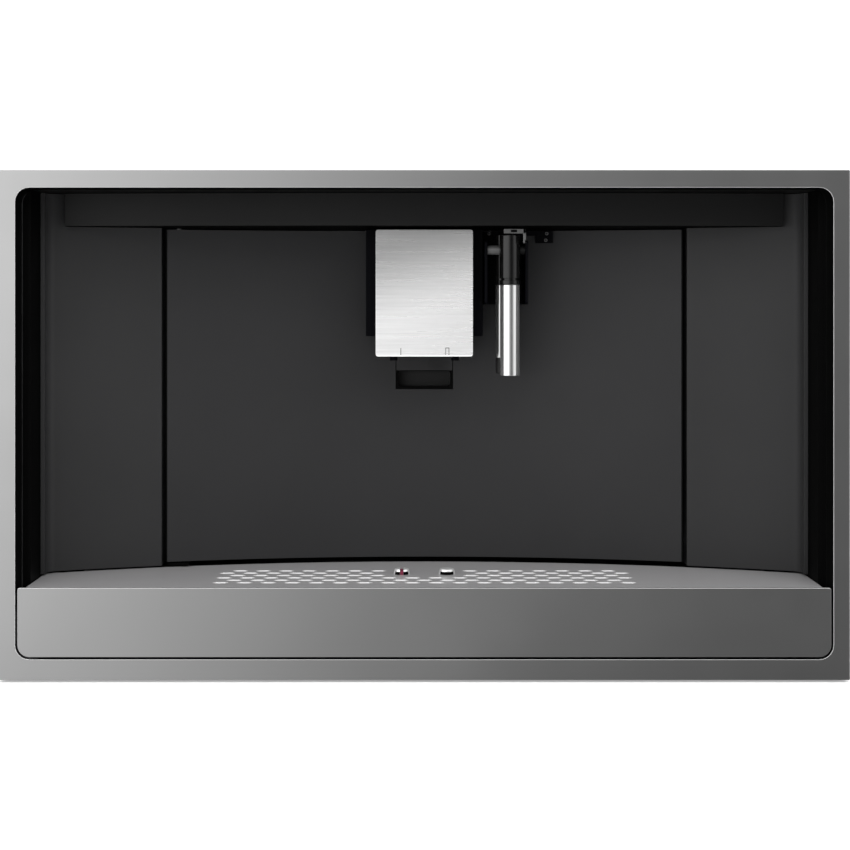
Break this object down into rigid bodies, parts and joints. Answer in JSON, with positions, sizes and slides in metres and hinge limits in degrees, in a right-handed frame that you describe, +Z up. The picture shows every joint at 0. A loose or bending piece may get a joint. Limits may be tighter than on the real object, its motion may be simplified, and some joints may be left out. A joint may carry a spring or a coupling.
{
  "type": "built-in coffee machine",
  "caption": "Built-in coffee machine: framed cup niche, hinged curved door with sliding spout and tilting nozzle, pull-out drip tray, top-filled tank and hopper, on telescopic rails.",
  "frame": {"origin": "on the niche floor, in the middle of the width and of the overall depth", "axes": "+X to the right, the front faces -Y, +Z up"},
  "size_m": [0.596, 0.38, 0.3585],
  "materials": {
    "satin_metal": "satin anodised",
    "brushed_steel": "horizontally brushed",
    "chrome": "polished",
    "gloss_black": "gloss",
    "satin_black": "satin coating",
    "moulded_black": "fine-grained",
    "zinc_sheet": "galvanised",
    "cast_metal": "as cast",
    "motor_steel": "plain",
    "burr_steel": "ground",
    "clear_plastic": "clear",
    "smoked_plastic": "smoked",
    "grey_plastic": "satin",
    "red_plastic": "satin",
    "board_green": "lacquered",
    "hose_rubber": "matt"
  },
  "bodies": {
    "mount_rails": {"cross_bar_front": "zinc_sheet", "cross_bar_rear": "zinc_sheet", "rail_outer_left": "zinc_sheet", "rail_outer_right": "zinc_sheet"},
    "rail_middles": {"rail_middle_left": "zinc_sheet", "rail_middle_right": "zinc_sheet"},
    "machine": {"front_frame": "satin_metal", "liner": "gloss_black", "wall_panel_left": "satin_black", "wall_panel_right": "satin_black", "bulkhead": "zinc_sheet", "hood": "moulded_black", "base_pan": "zinc_sheet", "side_panel_left": "zinc_sheet", "side_panel_right": "zinc_sheet", "rear_panel": "zinc_sheet", "top_cover": "zinc_sheet", "hinge_pin_upper": "motor_steel", "hinge_bracket_lower": "zinc_sheet", "tank_seat": "grey_plastic", "water_pump": "motor_steel", "thermoblock": "cast_metal", "feed_hose": "hose_rubber", "pressure_hose": "hose_rubber", "brew_hose": "hose_rubber", "bean_hopper": "smoked_plastic", "grinder_housing": "cast_metal", "upper_burr": "burr_steel", "grinder_motor": "motor_steel", "grounds_chute": "moulded_black", "brew_bay": "zinc_sheet", "brew_frame": "grey_plastic", "brew_motor": "motor_steel", "brew_piston": "grey_plastic", "grounds_container": "moulded_black", "control_board": "board_green", "mains_socket": "moulded_black", "rail_inner_left": "zinc_sheet", "rail_inner_right": "zinc_sheet"},
    "door": {"service_door": "satin_black", "grip_insert": "moulded_black", "spout_guide": "moulded_black", "nozzle_carrier": "moulded_black"},
    "spout": {"spout_carriage": "moulded_black", "spout_plate": "brushed_steel", "twin_outlet": "grey_plastic"},
    "nozzle": {"nozzle_body": "gloss_black", "nozzle_sleeve": "chrome"},
    "drip_tray": {"tray_front": "satin_metal", "cup_plate": "satin_metal", "drip_basin": "moulded_black"},
    "tray_float": {"level_float": "red_plastic"},
    "tank": {"water_tank": "clear_plastic"},
    "tank_cover": {"tank_lid": "moulded_black"},
    "hopper_cover": {"hopper_lid": "moulded_black"},
    "knob": {"grind_knob": "moulded_black"},
    "burr": {"lower_burr": "burr_steel"},
    "screw": {"lead_screw": "burr_steel"},
    "chamber": {"brew_chamber": "grey_plastic"},
    "rocker": {"mains_switch": "moulded_black"}
  },
  "joints": [
    {"name": "machine_slide", "type": "slide", "parent": "mount_rails", "child": "machine", "axis": [0, -1, 0], "range_m": [0, 0.3]},
    {"name": "rail_middle_slide", "type": "slide", "parent": "mount_rails", "child": "rail_middles", "axis": [0, -1, 0], "range_m": [0, 0.15]},
    {"name": "door_hinge", "type": "hinge", "parent": "machine", "child": "door", "pos_m": [-0.186, -0.09788, 0.0702], "axis": [0, 0, -1], "range_deg": [0, 95]},
    {"name": "spout_height", "type": "slide", "parent": "door", "child": "spout", "axis": [0, 0, -1], "range_m": [0, 0.055]},
    {"name": "nozzle_tilt", "type": "hinge", "parent": "door", "child": "nozzle", "pos_m": [0.061, -0.116, 0.305], "axis": [-1, 0, 0], "range_deg": [0, 25]},
    {"name": "tray_slide", "type": "slide", "parent": "machine", "child": "drip_tray", "axis": [0, -1, 0], "range_m": [0, 0.18]},
    {"name": "float_rise", "type": "slide", "parent": "drip_tray", "child": "tray_float", "axis": [0, 0, 1], "range_m": [0, 0.006]},
    {"name": "tank_lift", "type": "slide", "parent": "machine", "child": "tank", "axis": [0, 0, 1], "range_m": [0, 0.12]},
    {"name": "tank_lid_hinge", "type": "hinge", "parent": "tank", "child": "tank_cover", "pos_m": [-0.236, 0.10375, 0.3549], "axis": [-1, 0, 0], "range_deg": [0, 100]},
    {"name": "hopper_lid_hinge", "type": "hinge", "parent": "machine", "child": "hopper_cover", "pos_m": [0.206, 0.06875, 0.3549], "axis": [-1, 0, 0], "range_deg": [0, 100]},
    {"name": "grind_setting", "type": "hinge", "parent": "machine", "child": "knob", "pos_m": [0.206, 0.1, 0.3549], "axis": [0, 0, 1], "range_deg": [-150, 150]},
    {"name": "burr_spin", "type": "hinge", "parent": "machine", "child": "burr", "pos_m": [0.206, -0.01, 0.24], "axis": [0, 0, 1], "continuous": true},
    {"name": "screw_spin", "type": "hinge", "parent": "machine", "child": "screw", "pos_m": [0.07, 0.024, 0.1], "axis": [0, 0, 1], "range_deg": [0, 720]},
    {"name": "chamber_lift", "type": "slide", "parent": "machine", "child": "chamber", "axis": [0, 0, 1], "range_m": [0, 0.04]},
    {"name": "mains_rocker", "type": "hinge", "parent": "machine", "child": "rocker", "pos_m": [0.21, 0.1822, 0.12475], "axis": [1, 0, 0], "range_deg": [-8, 8]}
  ],
  "couplings": [
    {"joint": "rail_middle_slide", "follows": "machine_slide", "ratio": 0.5},
    {"joint": "screw_spin", "follows": "chamber_lift", "rad_per_m": 314.16}
  ]
}
